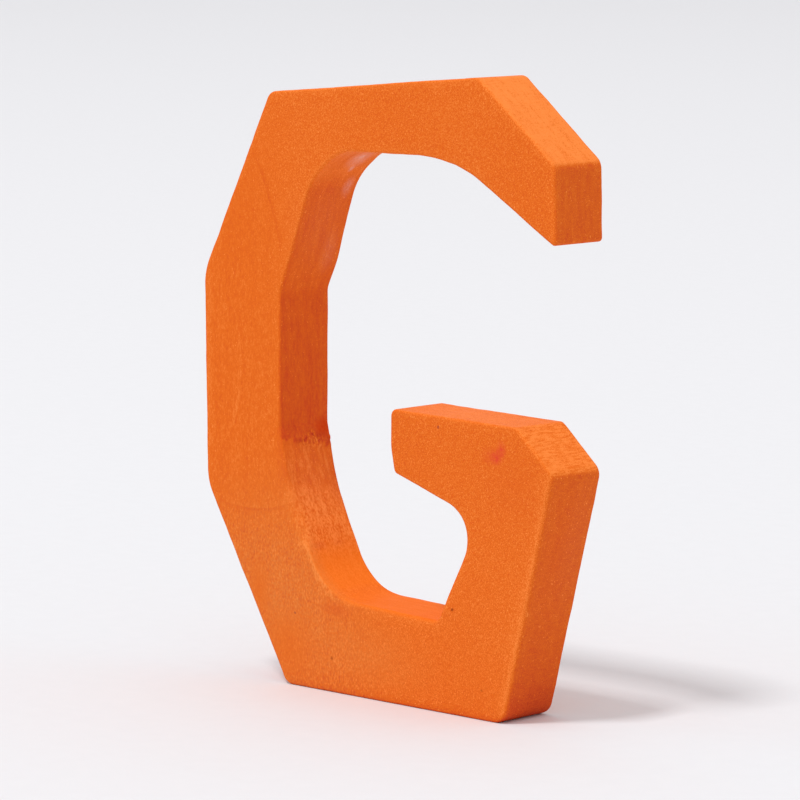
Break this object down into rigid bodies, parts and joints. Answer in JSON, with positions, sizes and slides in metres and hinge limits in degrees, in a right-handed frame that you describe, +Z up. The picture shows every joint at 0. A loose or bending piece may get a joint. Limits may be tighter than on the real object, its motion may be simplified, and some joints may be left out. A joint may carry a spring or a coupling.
{
  "type": "wooden letter",
  "caption": "Free-standing capital letter G sawn from one board of fine hardwood, with straight slanted cuts, sanded rims and an orange stain.",
  "frame": {"origin": "on the ground, under the middle of the outline and of the board's thickness", "axes": "+Z up along the letter's height, +X along its reading direction, front face towards -Y and the board's thickness along Y"},
  "size_m": [0.0658, 0.01, 0.0869],
  "materials": {
    "stained_wood": "sawn, sanded and stained orange, with no lacquer"
  },
  "bodies": {
    "root": {"letter_body": "stained_wood"}
  },
  "joints": []
}
